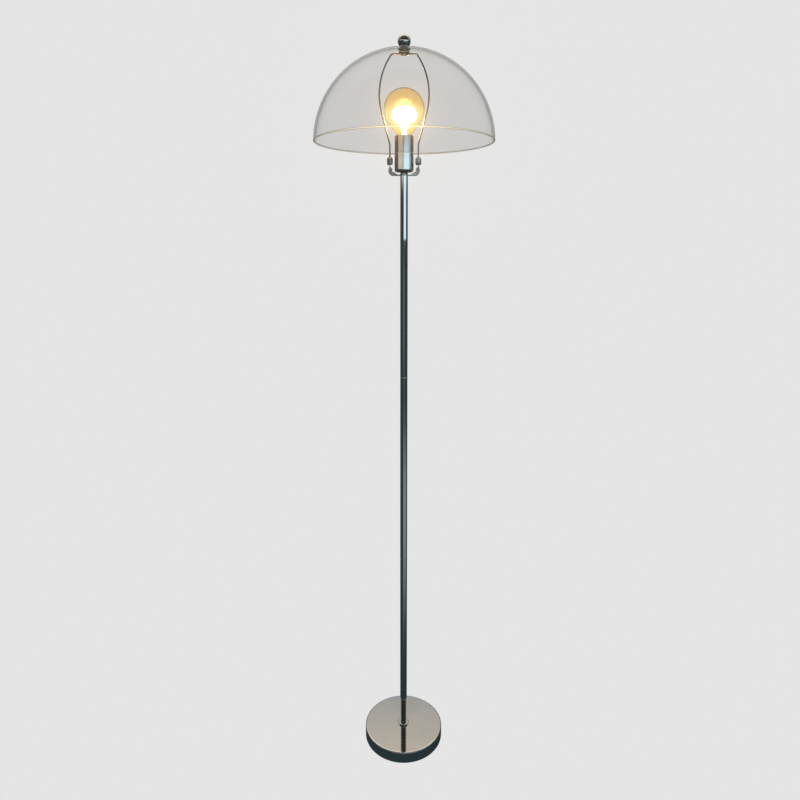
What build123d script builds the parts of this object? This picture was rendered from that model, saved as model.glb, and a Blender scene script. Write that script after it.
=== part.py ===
from build123d import *

# A mushroom floor lamp: a clear acrylic dome held on a wire harp over a globe bulb, on a slim
# three-piece pole with a round weighted base. Lengths are in millimetres and angles in degrees.
# The origin is the middle of the floor contact, Z is up, the harp's wire lies in the XZ plane
# and the mains lead enters the base at the back, +Y.

import os
from math import asin, atan2, cos, degrees, radians, sin, sqrt, tan

# ---------------------------------------------------------------- sizes that can be set

edge_break = 0.3  # bevel on turned edges
close_fit = 0.05  # radial clearance of screwed and pressed pieces
loose_fit = 0.3  # clearance of pieces that slide past each other
thread_bevel = 0.6  # bevel that starts a thread

# Base
base_r = 87.0
base_h = 25.0  # steel cover, from its rim to its top face
base_wall = 1.0
base_round = 2.5  # radius of the cover's top edge
pad_inset = 3.0  # from the cover's side to the pad's
pad_t = 2.0
weight_clearance = 0.5  # between the iron weight and the cover's side
recess_r = 21.0  # pocket under the weight for the clamp nut
recess_depth = 17.5
channel_w = 9.0  # groove under the weight for the lead
channel_depth = 10.0
collar_r = 12.0
collar_h = 4.0
collar_floor = 1.2  # the collar's bottom, which the pole stands on
collar_round = 1.6

# Threaded steel tubes and nuts
thread_r = 5.0
thread_bore_r = 3.8
joint_nipple_len = 30.0
base_washer_r = 15.0
base_washer_t = 1.5
lock_washer_r = 9.0
lock_washer_t = 1.6
lock_washer_gap = 2.0
lock_washer_skew = 35.0  # angle of the split across the ring
base_nut_flats = 17.0
base_nut_h = 4.0
nipple_below_nut = 0.5

# Cord bush in the back of the cover
bush_z = 8.5
bush_r = 4.5
bush_bore_r = 3.25
bush_flange_r = 6.2
bush_flange_t = 2.5
bush_barb = 0.9  # how far the snap-in lip stands out behind the cover
bush_inner_len = 8.0  # from the cover's outside to the bush's inner end
bush_pocket_w = 12.0
bush_pocket_depth = 13.0  # pocket in the weight's edge, from its underside

# Mains lead inside the lamp
lead_r = 2.5
lead_run_z = 5.6  # height of the lead in the weight's groove
lead_bend_r = 10.0  # where it turns up into the pole
lead_ease_r = 30.0  # where it comes down into the groove
lead_straight = 9.0  # level run out of the bush
lead_fall = 16.0  # run in which it then comes down into the groove
lead_end_gap = 2.3  # from the top nipple's end to the end of the lead's jacket
core_r = 0.9
core_spacing = 1.3
core_run_gap = 0.9  # from the socket body's underside to the cores' middle
core_bend_r = 2.0

# Pole
pole_r = 7.5
pole_wall = 1.0
section_len = 408.0
insert_len = 18.0

# Saddle that carries the harp
saddle_t = 1.5
saddle_w = 12.0
saddle_hub_r = 10.0
saddle_toe_x = 32.9  # where the strap's flat run would meet its rising run
saddle_bend_r = 8.5
saddle_lean_bend_r = 6.0
saddle_lean_top = 18.3  # height of the end of the leaning run, above the pole's end
saddle_neck_w = 9.2  # strap's width just under the ferrule
saddle_taper_from = 8.0
flange_h = 7.0  # depth of the turned-up edges that stiffen each arm
flange_from = 9.0  # where they start, from the middle
flange_top = 17.5  # where they end, above the pole's end
tongue_w = 5.2
channel_wall = 1.0
channel_reach = 8.0  # how far the harp's foot stands in the saddle's channel
foot_rise = 24.8  # harp's foot above the pole's end
saddle_nut_flats = 14.0
saddle_nut_h = 2.4

# Lamp socket
bushing_neck_h = 3.0
bushing_neck_r = 7.0
bushing_flange_r = 9.5
bushing_flange_t = 1.5
set_screw_r = 1.0
set_screw_slot_w = 0.5
set_screw_slot_depth = 0.6
cap_r = 18.7
cap_h = 28.4
cap_wall = 0.9
cap_round = 4.0
cap_nipple_reach = 0.6  # how far the top nipple stands above the cap's floor
shell_r = 18.3
shell_wall = 0.8
shell_h = 40.1  # the part that shows above the cap
shell_tuck = 5.0  # the part inside the cap
shell_lip = 1.0
liner_wall = 0.8
liner_top_gap = 2.0
liner_bevel = 0.1
core_body_r = 15.4
core_body_h = 20.0
core_body_rise = 8.3  # underside above the cap's floor
core_flat_x = 13.0
core_flat_h = 15.0
screw_shell_bore_r = 13.4
screw_shell_wall = 0.7
screw_shell_h = 34.0
screw_shell_floor_r = 8.0
leaf_w = 5.0
leaf_t = 0.5
leaf_h = 11.4
leaf_reach = 5.0
leaf_bend_r = 0.8
terminal_plate_w = 8.0
terminal_plate_h = 10.0
terminal_plate_t = 0.8
terminal_rise = 7.0  # screws above the socket body's underside
terminal_head_r = 3.2
terminal_head_t = 1.6
terminal_shank_r = 1.6
terminal_shank_len = 5.0

# Bulb
bulb_r = 40.0
glass_t = 0.8
globe_rise = 77.0  # from the tip contact to the globe's middle
glass_neck_r = 14.8
glass_neck_rise = 29.5  # neck's widest ring above the tip contact
glass_root_r = 12.2
glass_root_depth = 7.2  # how far the globe's glass reaches into the cap
bulb_cap_r = 13.0
bulb_cap_wall = 0.5
bulb_cap_h = 27.0
tip_r = 4.8
tip_t = 1.6
insulator_h = 4.6
insulator_r = 8.5
cap_cone_h = 2.8
stem_root_r = 11.0
stem_tube_r = 4.0
stem_tube_rise = 52.0
stem_rod_r = 1.6
stem_ball_r = 2.6
filament_count = 6
filament_r = 1.0
filament_low_r = 8.0
filament_low_rise = 44.0
filament_high_r = 21.0
filament_high_rise = 78.0
support_r = 0.5

# Harp
wire_r = 1.5
leg_x = 28.0
harp_h = 201.1  # from the foot to the middle of the top bar
foot_len = 33.0  # upright run of each leg
shoulder_angle = 14.8  # how far the shoulders lean out
shoulder_bend_r = 15.0
shoulder_len = 60.7
bow_angle = 49.8  # how far the bows turn back in
corner_r = 5.0
ferrule_r = 5.7
ferrule_h = 14.5
ferrule_cap_t = 2.0
ferrule_top_r = 3.6
ferrule_flare = 0.75  # how much narrower the bell is at its mouth
clip_r = 2.4
clip_len = 21.0
clip_boss_r = 4.8
clip_boss_h = 5.4
clip_bevel = 0.9
stud_r = 3.0
stud_above_shade = 15.0

# Shade and its fixings
shade_r = 177.0  # outside of the sphere that the dome is cut from
shade_h = 171.5  # from the rim to the crown, a little less than half the sphere
shade_t = 3.0
shade_hole_r = 4.0
rim_round = 1.2
seat_r = 10.5
seat_t = 1.2
low_washer_r = 10.0
low_washer_t = 0.7
top_washer_r = 12.0
top_washer_t = 1.0
washer_bevel = 0.2
ball_r = 12.5
finial_foot_r = 10.5
finial_foot_t = 1.6
finial_neck_r = 6.0
finial_neck_h = 3.2  # from the finial's underside to where the ball begins
ball_bore_clearance = 1.0

# ---------------------------------------------------------------- heights, from the floor up

base_top = pad_t + base_h
weight_top = base_top - base_wall
recess_top = pad_t + recess_depth
pole_bottom = base_top + collar_floor
joint_low = pole_bottom + section_len
joint_high = joint_low + section_len
pole_top = joint_high + section_len

base_nut_bottom = recess_top - base_washer_t - lock_washer_t - base_nut_h
base_nipple_bottom = base_nut_bottom - nipple_below_nut
base_nipple_top = pole_bottom + joint_nipple_len / 2

saddle_mid = pole_top + saddle_t / 2
bushing_bottom = pole_top + saddle_t + saddle_nut_h
cap_bottom = bushing_bottom + bushing_neck_h
cap_floor = cap_bottom + cap_wall
cap_top = cap_bottom + cap_h
shell_top = cap_top + shell_h
top_nipple_top = cap_floor + cap_nipple_reach
core_bottom = cap_floor + core_body_rise
core_top = core_bottom + core_body_h
terminal_z = core_bottom + terminal_rise

tip_z = core_top + leaf_h + loose_fit
globe_z = tip_z + globe_rise
neck_z = tip_z + glass_neck_rise
bulb_cap_top = tip_z + bulb_cap_h
bulb_cap_bottom = tip_z + tip_t + insulator_h

foot_z = pole_top + foot_rise
channel_r = wire_r + loose_fit
ferrule_bore_r = channel_r + channel_wall + loose_fit
ferrule_z = foot_z + channel_reach + loose_fit + ferrule_cap_t - ferrule_h
shoulder_z = ferrule_z - loose_fit
bar_z = foot_z + harp_h

seat_bottom = bar_z + clip_boss_h / 2
seat_top = seat_bottom + seat_t
inner_r = shade_r - shade_t
shade_z = seat_top + low_washer_t + 2 * close_fit - sqrt(inner_r**2 - low_washer_r**2)
rim_rise = shade_r - shade_h  # of the rim above the sphere's middle, which shade_z gives
top_washer_z = shade_z + sqrt(shade_r**2 - shade_hole_r**2) + close_fit
finial_z = top_washer_z + top_washer_t
neck_top = finial_z + finial_neck_h
ball_z = neck_top + sqrt(ball_r**2 - finial_neck_r**2)
stud_top = top_washer_z + stud_above_shade

# ---------------------------------------------------------------- shared shapes

ON_FLOOR = (Align.CENTER, Align.CENTER, Align.MIN)


def turned(*outline):
    """A solid turned about Z, from straight lines through (radius, height) points."""
    return revolve(Plane.XZ * make_face(Polyline(*outline, close=True)), Axis.Z)


def tube(outer, bore, bottom, top, bevel=edge_break):
    """A plain tube about Z with its two outer edges bevelled."""
    return turned(
        (bore, bottom),
        (outer - bevel, bottom),
        (outer, bottom + bevel),
        (outer, top - bevel),
        (outer - bevel, top),
        (bore, top),
    )


def disc(radius, bottom, top):
    """A plain round block about Z."""
    return Pos(0, 0, bottom) * Cylinder(radius, top - bottom, align=ON_FLOOR)


def hex_nut(flats, bottom, height):
    """A hexagon nut about Z, its corners turned down to a cone above and below."""
    corner_r = flats / sqrt(3)
    blank = extrude(Pos(0, 0, bottom) * RegularPolygon(corner_r, 6), height)
    drop = (corner_r - flats / 2) * tan(radians(30))
    cone = turned(
        (0, bottom),
        (flats / 2, bottom),
        (corner_r, bottom + drop),
        (corner_r, bottom + height - drop),
        (flats / 2, bottom + height),
        (0, bottom + height),
    )
    return (blank & cone) - disc(thread_r + close_fit, bottom - 1, bottom + height + 1)


def rod(start, end, radius):
    """A round bar between two points."""
    line = Line(start, end)
    return sweep(Plane(origin=line @ 0, z_dir=line % 0) * Circle(radius), path=line)


def along(path, profile):
    """A profile, drawn about the origin, swept along a planar path."""
    start = Plane(origin=path @ 0, x_dir=(0, 1, 0), z_dir=path % 0)
    return sweep(start * profile, path=path)


def both_sides(piece):
    """A piece joined to its mirror image across the YZ plane."""
    return piece + mirror(piece, about=Plane.YZ)


def pair(piece):
    """A piece and its mirror image across the YZ plane, as two separate solids."""
    return Compound([piece.solid(), mirror(piece, about=Plane.YZ).solid()])


# ---------------------------------------------------------------- base


def make_base_pad():
    """The soft disc that the lamp stands on."""
    return tube(base_r - pad_inset, 0, 0, pad_t)


def make_base_shell():
    """The drawn steel cover: a shallow cup upside down, bored for the nipple and the bush."""
    outside = disc(base_r, pad_t, base_top)
    outside = fillet(outside.edges().group_by(Axis.Z)[-1], base_round)
    inside = disc(base_r - base_wall, pad_t, weight_top)
    inside = fillet(inside.edges().group_by(Axis.Z)[-1], base_round - base_wall)
    bush_hole = at_back(disc(bush_r + close_fit, -bush_inner_len, bush_flange_t))
    return outside - inside - disc(thread_r + close_fit, 0, base_top + 1) - bush_hole


def make_base_weight():
    """The iron weight that fills the cover, with a pocket for the nut and a groove for the lead."""
    radius = base_r - base_wall - weight_clearance
    weight = tube(radius, thread_r + loose_fit, pad_t, weight_top, bevel=base_round)
    groove = Pos(0, radius / 2, pad_t) * Box(channel_w, radius, channel_depth, align=ON_FLOOR)
    pocket_y = base_r - bush_inner_len
    pocket = Pos(0, (pocket_y + base_r) / 2, pad_t) * Box(
        bush_pocket_w, base_r - pocket_y + 2, bush_pocket_depth, align=ON_FLOOR
    )
    return weight - disc(recess_r, pad_t, recess_top) - groove - pocket


def at_back(piece):
    """Turns a piece made about Z to the cord bush's place, its +Z pointing out of the back."""
    return Pos(0, base_r, bush_z) * Rot(-90, 0, 0) * piece


def make_cord_bush():
    """The snap-in bush that guards the lead where it enters the base."""
    lip = -base_wall - loose_fit
    return at_back(
        turned(
            (bush_bore_r, -bush_inner_len),
            (bush_r - bush_barb / 2, -bush_inner_len),
            (bush_r + bush_barb, lip - 1),
            (bush_r + bush_barb, lip),
            (bush_r, lip),
            (bush_r, 0),
            (bush_flange_r, 0),
            (bush_flange_r, bush_flange_t / 2),
            (bush_flange_r - bush_flange_t / 2, bush_flange_t),
            (bush_bore_r, bush_flange_t),
        )
    )


def make_base_collar():
    """The turned ring at the pole's foot, with a shallow cup that the pole stands in."""
    ring = disc(collar_r, base_top, base_top + collar_h)
    ring = fillet(ring.edges().group_by(Axis.Z)[-1], collar_round)
    cup = disc(pole_r + close_fit, pole_bottom, base_top + collar_h + 1)
    return ring - cup - disc(thread_r + close_fit, base_top - 1, pole_bottom + 1)


def nipple(bottom, top):
    """A length of threaded steel tube."""
    return tube(thread_r, thread_bore_r, bottom, top, bevel=thread_bevel)


def make_base_flat_washer():
    return tube(base_washer_r, thread_r + loose_fit, recess_top - base_washer_t, recess_top)


def make_base_lock_washer():
    """The split spring washer between the flat washer and the nut."""
    top = recess_top - base_washer_t
    ring = tube(lock_washer_r, thread_r + loose_fit, top - lock_washer_t, top)
    middle = (thread_r + lock_washer_r) / 2
    slit = Pos(middle, 0, top - lock_washer_t) * Rot(lock_washer_skew, 0, 0)
    return ring - slit * Box(lock_washer_r, lock_washer_gap, 4 * lock_washer_t)


# ---------------------------------------------------------------- pole


def pole_section(bottom):
    """One length of the pole, with bevelled ends so that each joint shows as a fine line."""
    return tube(pole_r, pole_r - pole_wall, bottom, bottom + section_len)


def make_pole_inserts():
    """The threaded plugs pressed into both ends of the three pole sections."""
    outer = pole_r - pole_wall - close_fit
    plugs = []
    for bottom in (pole_bottom, joint_low, joint_high):
        for start in (bottom, bottom + section_len - insert_len):
            plug = tube(outer, thread_r + close_fit, start, start + insert_len)
            plugs.append(plug.solid())
    return Compound(plugs)


def joint_nipple(joint):
    """The threaded tube that draws two pole sections together."""
    return nipple(joint - joint_nipple_len / 2, joint + joint_nipple_len / 2)


# ---------------------------------------------------------------- wiring inside the lamp


def make_inner_lead():
    """The lead from the bush, along the weight's groove and up the pole into the socket."""
    bush_end = base_r - bush_inner_len
    route = FilletPolyline(
        (0, bush_end, bush_z),
        (0, bush_end - lead_straight, bush_z),
        (0, bush_end - lead_straight - lead_fall, lead_run_z),
        (0, 0, lead_run_z),
        (0, 0, top_nipple_top + lead_end_gap),
        radius=[lead_ease_r, lead_ease_r, lead_bend_r],
    )
    start = Plane(origin=route @ 0, x_dir=(1, 0, 0), z_dir=route % 0)
    return sweep(start * Circle(lead_r), path=route)


def make_lead_cores():
    """The lead's two insulated cores, spread to the terminal screws."""
    core_z = core_bottom - core_run_gap - core_r
    screw_x = core_flat_x + terminal_plate_t + core_r + close_fit
    route = Plane.XZ * FilletPolyline(
        (core_spacing, top_nipple_top + lead_end_gap),
        (core_spacing, core_z),
        (screw_x, core_z),
        (screw_x, terminal_z - terminal_head_r),
        radius=[core_r, core_bend_r],
    )
    return pair(along(route, Circle(core_r)))


# ---------------------------------------------------------------- saddle and socket


def make_saddle():
    """The sprung strap under the socket: a dished arm at each side, whose end curls up into a
    half-round channel for the harp."""
    route = Plane.XZ * FilletPolyline(
        (0, saddle_mid),
        (saddle_toe_x, saddle_mid),
        (leg_x, pole_top + saddle_lean_top),
        (leg_x, foot_z),
        radius=[saddle_bend_r, saddle_lean_bend_r],
    )
    strap = along(route, Rectangle(saddle_w, saddle_t)) & strap_outline(0)
    raised = flange_h - saddle_t / 2
    flanges = along(route, Pos(0, raised / 2) * Rectangle(saddle_w, raised))
    flanges = flanges & (strap_outline(0) - strap_outline(saddle_t)) & flange_run()
    channel = tube(channel_r + channel_wall, channel_r, shoulder_z, foot_z + channel_reach)
    wire_side = Pos(channel_r, 0, foot_z) * Box(2 * channel_r, 4 * channel_r, 4 * channel_reach)
    arm = strap + flanges + Pos(leg_x, 0, 0) * (channel - wire_side)
    hub = disc(saddle_hub_r, pole_top, pole_top + saddle_t)
    bore = disc(thread_r + close_fit, pole_top - 1, pole_top + saddle_t + 1)
    return both_sides(arm) + hub - bore


def strap_outline(inset):
    """A block that gives an arm its width at each height, drawn in at both edges."""
    half = [
        (saddle_w / 2, pole_top - 1),
        (saddle_w / 2, pole_top + saddle_taper_from),
        (saddle_neck_w / 2, shoulder_z),
        (tongue_w / 2, shoulder_z),
        (tongue_w / 2, foot_z + 1),
    ]
    half = [(y - inset, z) for y, z in half]
    outline = half + [(-y, z) for y, z in reversed(half)]
    return extrude(Plane.YZ * make_face(Polyline(*outline, close=True)), 2 * saddle_toe_x)


def flange_run():
    """A block round the part of an arm that has flanges, which slope away at both ends."""
    outline = Polyline(
        (flange_from, pole_top - 1),
        (leg_x - flange_h, pole_top + flange_h),
        (leg_x - flange_h, pole_top + flange_top - flange_h),
        (leg_x, pole_top + flange_top),
        (2 * saddle_toe_x, pole_top + flange_top),
        (2 * saddle_toe_x, pole_top - 1),
        close=True,
    )
    return extrude(Plane.XZ * make_face(outline), saddle_w, both=True)


def make_cap_bushing():
    """The threaded bushing riveted through the socket cap's floor."""
    bushing = turned(
        (thread_r + close_fit, bushing_bottom),
        (bushing_neck_r - edge_break, bushing_bottom),
        (bushing_neck_r, bushing_bottom + edge_break),
        (bushing_neck_r, cap_floor),
        (bushing_flange_r, cap_floor),
        (bushing_flange_r, cap_floor + bushing_flange_t),
        (thread_r + close_fit, cap_floor + bushing_flange_t),
    )
    return bushing - cap_screw_place() * Cylinder(
        set_screw_r + close_fit, bushing_neck_r, align=ON_FLOOR
    )


def cap_screw_place():
    """Where the set screw enters the bushing: from the back, half way up its neck."""
    return Pos(0, thread_r + close_fit, bushing_bottom + bushing_neck_h / 2) * Rot(-90, 0, 0)


def make_cap_set_screw():
    """The grub screw that stops the socket turning on its nipple."""
    length = bushing_neck_r - thread_r + 1
    screw = Cylinder(set_screw_r, length, align=ON_FLOOR)
    slot = Pos(0, 0, length) * Box(2 * set_screw_r, set_screw_slot_w, 2 * set_screw_slot_depth)
    return cap_screw_place() * (screw - slot)


def make_socket_cap():
    """The lower half of the socket's steel case."""
    outside = disc(cap_r, cap_bottom, cap_top)
    outside = fillet(outside.edges().group_by(Axis.Z)[0], cap_round)
    inside = disc(cap_r - cap_wall, cap_floor, cap_top)
    inside = fillet(inside.edges().group_by(Axis.Z)[0], cap_round - cap_wall)
    return outside - inside - disc(bushing_neck_r + close_fit, cap_bottom - 1, cap_floor + 1)


def make_socket_shell():
    """The upper half of the case: its foot is drawn in to snap inside the cap."""
    foot_r = cap_r - cap_wall - close_fit
    bottom = cap_top - shell_tuck
    top = shell_top
    lip_r = shell_r - 2 * shell_wall
    return turned(
        (foot_r - shell_wall, bottom),
        (foot_r, bottom),
        (foot_r, cap_top),
        (shell_r, cap_top + shell_wall / 2),
        (shell_r, top - shell_lip),
        (shell_r - shell_lip / 2, top),
        (lip_r, top),
        (lip_r, top - shell_wall),
        (shell_r - shell_wall, top - 2 * shell_wall),
        (shell_r - shell_wall, cap_top + 2 * shell_wall),
        (foot_r - shell_wall, cap_top + shell_wall),
    )


def make_socket_liner():
    """The fibre sleeve that insulates the case from the screw shell."""
    outer = cap_r - cap_wall - shell_wall - 2 * close_fit - close_fit
    bottom = cap_top - shell_tuck + 1
    return tube(outer, outer - liner_wall, bottom, shell_top - liner_top_gap, liner_bevel)


def make_socket_core():
    """The moulded body that holds the contacts, with a flat for each terminal."""
    body = disc(core_body_r, core_bottom, core_top)
    body = chamfer(body.edges().group_by(Axis.Z)[0], 1)
    flat = Pos(core_flat_x, 0, core_bottom) * Box(
        core_body_r, 2 * core_body_r, core_flat_h, align=(Align.MIN, Align.CENTER, Align.MIN)
    )
    hole = rod(
        (core_flat_x + 1, 0, terminal_z),
        (core_flat_x + terminal_plate_t - terminal_shank_len - close_fit, 0, terminal_z),
        terminal_shank_r + close_fit,
    )
    for cut in (flat, hole):
        body = body - cut - mirror(cut, about=Plane.YZ)
    return body


def make_socket_screw_shell():
    """The brass shell that the bulb screws into, riveted to the body by its floor."""
    outer = screw_shell_bore_r + screw_shell_wall
    floor_top = core_top + screw_shell_wall
    return turned(
        (screw_shell_floor_r, core_top),
        (outer - 1, core_top),
        (outer, core_top + 1),
        (outer, core_top + screw_shell_h),
        (screw_shell_bore_r, core_top + screw_shell_h),
        (screw_shell_bore_r, floor_top + 1),
        (screw_shell_bore_r - 1, floor_top),
        (screw_shell_floor_r, floor_top),
    )


def make_socket_centre_contact():
    """The folded brass leaf that presses on the bulb's tip."""
    half_t = leaf_t / 2
    low = core_top + half_t
    high = core_top + leaf_h - half_t
    route = Plane.XZ * FilletPolyline(
        (-leaf_reach, low),
        (leaf_reach, low),
        (-leaf_reach, (low + high) / 2),
        (leaf_reach / 2, high),
        (-leaf_reach / 2, high),
        radius=leaf_bend_r,
    )
    return along(route, Rectangle(leaf_w, leaf_t))


def make_terminal_plates():
    plate = Pos(core_flat_x, 0, terminal_z) * Box(
        terminal_plate_t,
        terminal_plate_w,
        terminal_plate_h,
        align=(Align.MIN, Align.CENTER, Align.CENTER),
    )
    shank = rod(
        (core_flat_x - 1, 0, terminal_z),
        (core_flat_x + terminal_plate_t + 1, 0, terminal_z),
        terminal_shank_r + close_fit,
    )
    return pair(plate - shank)


def make_terminal_screws():
    """The two screws that clamp the cores to their plates."""
    head_x = core_flat_x + terminal_plate_t
    screw = Rot(0, 90, 0) * turned(
        (0, head_x - terminal_shank_len),
        (terminal_shank_r, head_x - terminal_shank_len),
        (terminal_shank_r, head_x),
        (terminal_head_r, head_x),
        (terminal_head_r, head_x + terminal_head_t / 2),
        (terminal_head_r - terminal_head_t / 2, head_x + terminal_head_t),
        (0, head_x + terminal_head_t),
    )
    return pair(Pos(0, 0, terminal_z) * screw)


# ---------------------------------------------------------------- bulb


def globe_outline(inset):
    """The bulb's outline drawn in by a wall's thickness: a root, a cone and the globe it touches."""
    ball = bulb_r - inset
    neck = (glass_neck_r - inset, neck_z)
    reach = sqrt(neck[0] ** 2 + (globe_z - neck_z) ** 2)
    heading = atan2(globe_z - neck_z, -neck[0]) - asin(ball / reach)
    run = sqrt(reach**2 - ball**2)
    touch = (neck[0] + run * cos(heading), neck_z + run * sin(heading))
    root_r = glass_root_r - inset
    root_top = bulb_cap_top + glass_t
    root = bulb_cap_top - glass_root_depth - inset
    sides = Polyline((0, root), (root_r, root), (root_r, root_top), neck, touch)
    crown = globe_z + ball
    middle = radians(degrees(atan2(touch[1] - globe_z, touch[0])) + 90) / 2
    over = (ball * cos(middle), globe_z + ball * sin(middle))
    return make_face([*sides.edges(), ThreePointArc(touch, over, (0, crown)), Line((0, crown), (0, root))])


def make_bulb_globe():
    """The blown glass globe, open at its root, where the stem closes it."""
    wall = globe_outline(0) - globe_outline(glass_t)
    return revolve(Plane.XZ * wall, Axis.Z)


def make_bulb_screw_cap():
    """The bulb's metal cap, drawn in to a cone at the bottom."""
    inner = bulb_cap_r - bulb_cap_wall
    cone_top = bulb_cap_bottom + cap_cone_h
    return turned(
        (insulator_r - bulb_cap_wall, bulb_cap_bottom),
        (insulator_r, bulb_cap_bottom),
        (bulb_cap_r, cone_top),
        (bulb_cap_r, bulb_cap_top),
        (inner, bulb_cap_top),
        (inner, cone_top + bulb_cap_wall),
        (insulator_r - bulb_cap_wall, bulb_cap_bottom + bulb_cap_wall),
    )


def make_bulb_insulator():
    """The black glass cone between the cap and the tip contact."""
    return turned(
        (0, tip_z + tip_t),
        (tip_r, tip_z + tip_t),
        (insulator_r, bulb_cap_bottom),
        (0, bulb_cap_bottom),
    )


def make_bulb_tip_contact():
    """The low solder dome under the insulator."""
    return turned(
        (0, tip_z),
        (tip_r / 2, tip_z),
        (tip_r - 2 * edge_break, tip_z + tip_t / 2),
        (tip_r, tip_z + tip_t),
        (0, tip_z + tip_t),
    )


def make_bulb_stem():
    """The glass mount: a flared foot that seals the globe, a tube, and a rod with a ball end."""
    bottom = bulb_cap_top - glass_root_depth + glass_t
    tube_top = tip_z + stem_tube_rise
    rod_top = tip_z + filament_high_rise
    stem = turned(
        (0, bottom),
        (stem_root_r, bottom),
        (stem_root_r, bottom + glass_t),
        (stem_tube_r, neck_z + stem_tube_r),
        (stem_tube_r, tube_top - stem_tube_r),
        (stem_rod_r, tube_top),
        (stem_rod_r, rod_top),
        (0, rod_top),
    )
    return stem + Pos(0, 0, rod_top) * Sphere(stem_ball_r)


def filament_ends():
    """The two ends of each filament: the sticks stand in a cone that opens upward."""
    for step in range(filament_count):
        turn = radians(360 * (step + 0.5) / filament_count)
        low = (filament_low_r * cos(turn), filament_low_r * sin(turn), tip_z + filament_low_rise)
        high = (filament_high_r * cos(turn), filament_high_r * sin(turn), tip_z + filament_high_rise)
        yield low, high


def make_bulb_filaments():
    return Compound([rod(low, high, filament_r).solid() for low, high in filament_ends()])


def make_filament_supports():
    """The level wires that carry the filaments: a short spoke to each foot, a long one to each head."""
    lean = atan2(filament_high_rise - filament_low_rise, filament_high_r - filament_low_r)
    gap = (filament_r + support_r + close_fit) / sin(lean)
    wires = []
    for low, high in filament_ends():
        spokes = ((stem_tube_r, low, filament_low_r), (stem_ball_r, high, filament_high_r))
        for hub_r, (x, y, z), end_r in spokes:
            ends = [(x * r / end_r, y * r / end_r, z) for r in (hub_r + close_fit, end_r - gap)]
            wires.append(rod(*ends, support_r).solid())
    return Compound(wires)


# ---------------------------------------------------------------- harp


def make_harp_wire():
    """The bent wire: two upright feet, leaning shoulders, long bows and a flat bar over the top."""
    lean_out = radians(shoulder_angle)
    lean_in = radians(bow_angle) - lean_out
    below_bow = foot_len + shoulder_bend_r * sin(lean_out) + shoulder_len * cos(lean_out)
    above_bow = corner_r * (1 - sin(lean_in))
    bow_r = (harp_h - below_bow - above_bow) / (sin(lean_out) + sin(lean_in))
    foot = Line((leg_x, foot_z), (leg_x, foot_z + foot_len))
    lean = JernArc(foot @ 1, foot % 1, shoulder_bend_r, -shoulder_angle)
    shoulder = Line(lean @ 1, lean @ 1 + (lean % 1) * shoulder_len)
    bow = JernArc(shoulder @ 1, shoulder % 1, bow_r, bow_angle)
    corner = JernArc(bow @ 1, bow % 1, corner_r, 90 + shoulder_angle - bow_angle)
    bar = Line(corner @ 1, (0, bar_z))
    route = Plane.XZ * Wire([foot, lean, shoulder, bow, corner, bar])
    return both_sides(along(route, Circle(wire_r)))


def make_harp_stud():
    """The clip crimped round the harp's bar, with the boss and threaded stud that hold the shade."""
    sleeve = rod((-clip_len / 2, 0, bar_z), (clip_len / 2, 0, bar_z), clip_r)
    boss = tube(clip_boss_r, 0, bar_z - clip_boss_h / 2, seat_bottom, bevel=clip_bevel)
    stud = tube(stud_r, 0, seat_bottom - 1, stud_top, bevel=thread_bevel)
    bore = rod((-clip_len, 0, bar_z), (clip_len, 0, bar_z), wire_r + close_fit)
    return sleeve + boss + stud - bore


def make_shade_seat():
    """The round plate screwed down the stud, which the shade rests on."""
    return tube(seat_r, stud_r + close_fit, seat_bottom, seat_top)


def make_ferrule(side):
    """The bell-shaped ferrule that drops over the harp's foot and locks it in the saddle."""
    top = ferrule_z + ferrule_h
    bell = turned(
        (ferrule_bore_r, ferrule_z),
        (ferrule_r - ferrule_flare, ferrule_z),
        (ferrule_r, ferrule_z + ferrule_h / 4),
        (ferrule_r, top - 1.5 * ferrule_cap_t),
        (ferrule_top_r, top),
        (channel_r, top),
        (channel_r, top - ferrule_cap_t),
        (ferrule_bore_r, top - ferrule_cap_t),
    )
    return Pos(side * leg_x, 0, 0) * bell


# ---------------------------------------------------------------- shade and finial


def make_shade():
    """The clear dome: a hollow cap of a sphere with a rounded rim and a hole at its crown."""
    ring = Circle(shade_r) - Circle(inner_r)
    corner = Pos(shade_hole_r, rim_rise)
    wall = ring & corner * Rectangle(shade_r, shade_r, align=(Align.MIN, Align.MIN))
    wall = fillet(wall.vertices().group_by(Axis.Y)[0], rim_round)
    return revolve(Plane.XZ * (Pos(0, shade_z) * wall), Axis.Z)


def make_washer_low():
    bottom = seat_top
    return tube(
        low_washer_r, stud_r + loose_fit, bottom, bottom + low_washer_t, bevel=washer_bevel
    )


def make_washer_top():
    return tube(
        top_washer_r,
        stud_r + loose_fit,
        top_washer_z,
        top_washer_z + top_washer_t,
        bevel=washer_bevel,
    )


def make_finial():
    """The ball on its necked foot, which screws down on the stud and clamps the shade."""
    foot_top = finial_z + finial_foot_t
    foot = turned(
        (0, finial_z),
        (finial_foot_r - edge_break, finial_z),
        (finial_foot_r, finial_z + edge_break),
        (finial_foot_r, foot_top - 2 * edge_break),
        (finial_foot_r - 2 * edge_break, foot_top),
        (finial_neck_r, foot_top),
        (finial_neck_r, neck_top),
        (0, ball_z),
    )
    ball = Pos(0, 0, ball_z) * Sphere(ball_r)
    bore = disc(stud_r + loose_fit, finial_z - 1, stud_top + ball_bore_clearance)
    return foot + ball - bore


# ---------------------------------------------------------------- all pieces

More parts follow.
